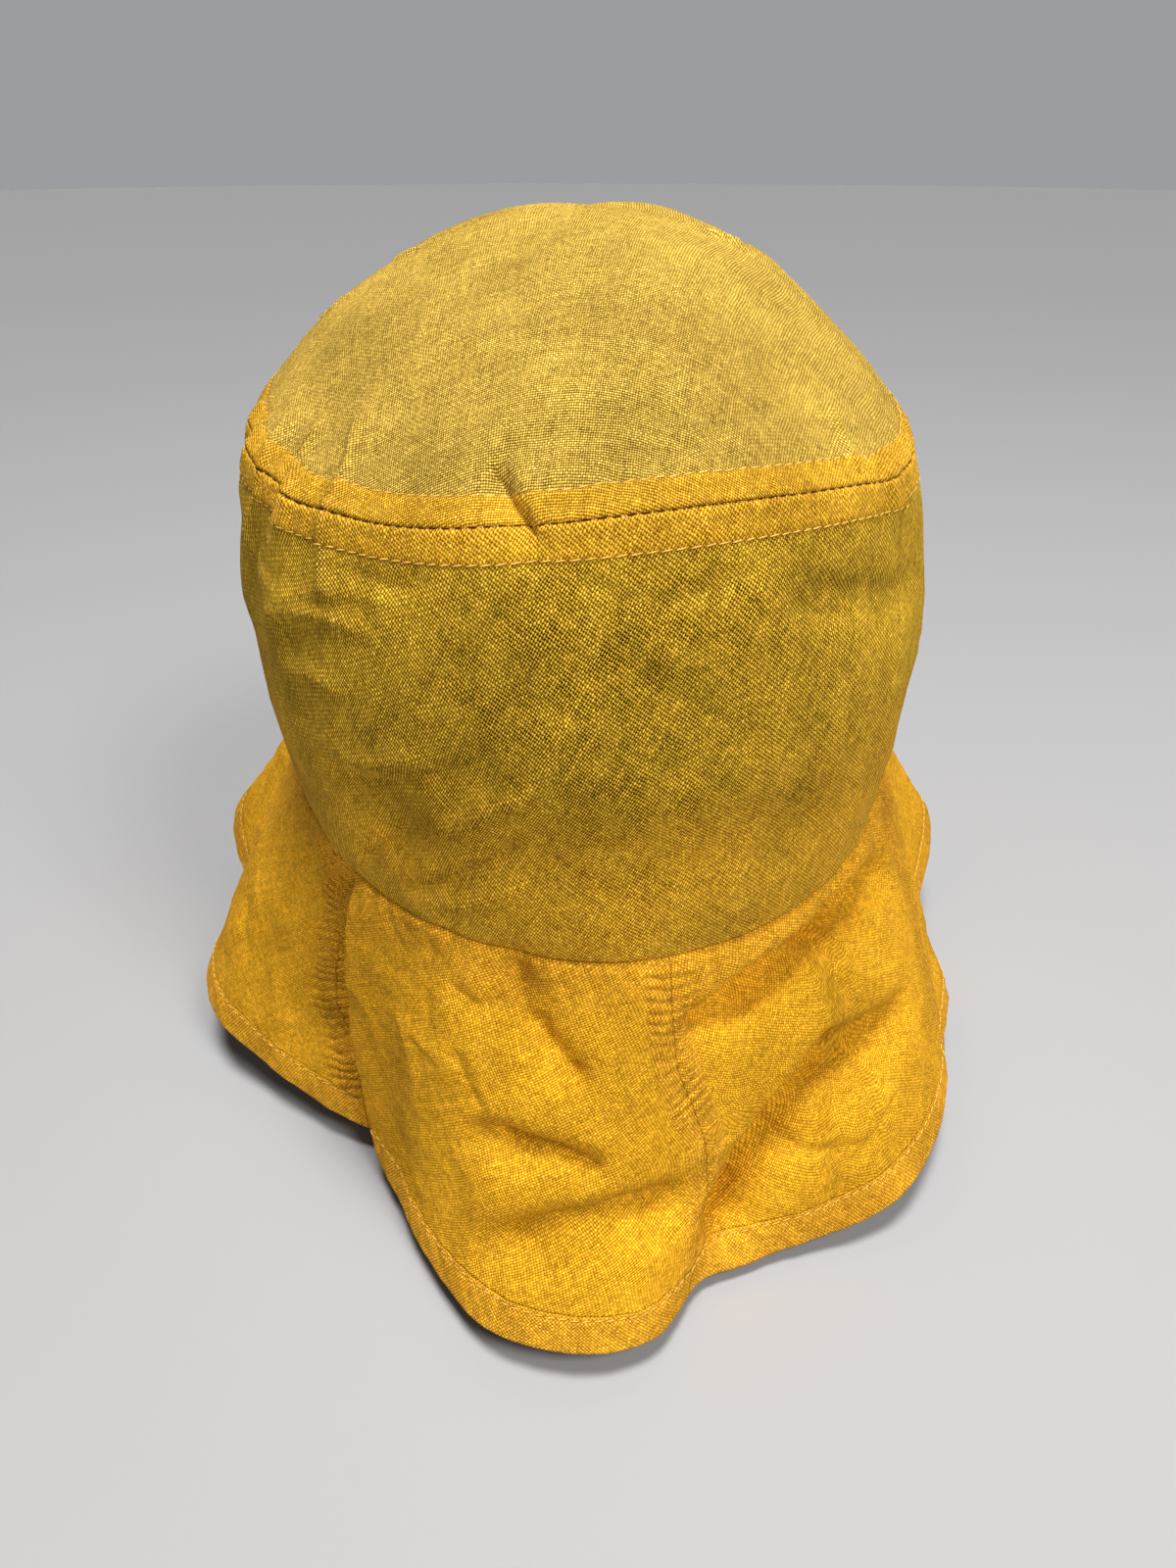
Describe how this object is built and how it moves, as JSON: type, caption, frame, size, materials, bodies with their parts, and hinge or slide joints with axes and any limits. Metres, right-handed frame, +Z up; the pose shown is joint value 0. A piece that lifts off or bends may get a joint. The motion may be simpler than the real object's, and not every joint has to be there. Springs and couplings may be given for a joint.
{
  "type": "sun hat",
  "caption": "Soft linen sun hat with a deep round crown and a wide floppy panelled brim that hangs in waves, as worn.",
  "frame": {"origin": "middle of the head opening, level with the seam between crown and brim", "axes": "+Z up through the crown, -Y to the front of the hat, +X on the right of the front view"},
  "size_m": [0.2744, 0.296, 0.2537],
  "materials": {
    "crown_tip": "pale mustard linen, slightly see-through plain weave",
    "crown_band": "olive mustard linen, slightly see-through plain weave",
    "seam_tape": "doubled mustard linen with stitched edges",
    "brim": "golden mustard linen, matte plain weave",
    "hem": "folded golden mustard linen with one stitched row"
  },
  "bodies": {
    "root": {"crown_tip": "crown_tip", "crown_band": "crown_band", "top_seam_tape": "seam_tape", "brim_hem": "hem", "brim_panel_1": "brim", "gore_seam_tape_1": "seam_tape", "brim_panel_2": "brim", "gore_seam_tape_2": "seam_tape", "brim_panel_3": "brim", "gore_seam_tape_3": "seam_tape", "brim_panel_4": "brim", "gore_seam_tape_4": "seam_tape", "brim_panel_5": "brim", "gore_seam_tape_5": "seam_tape", "brim_panel_6": "brim", "gore_seam_tape_6": "seam_tape"}
  },
  "joints": []
}
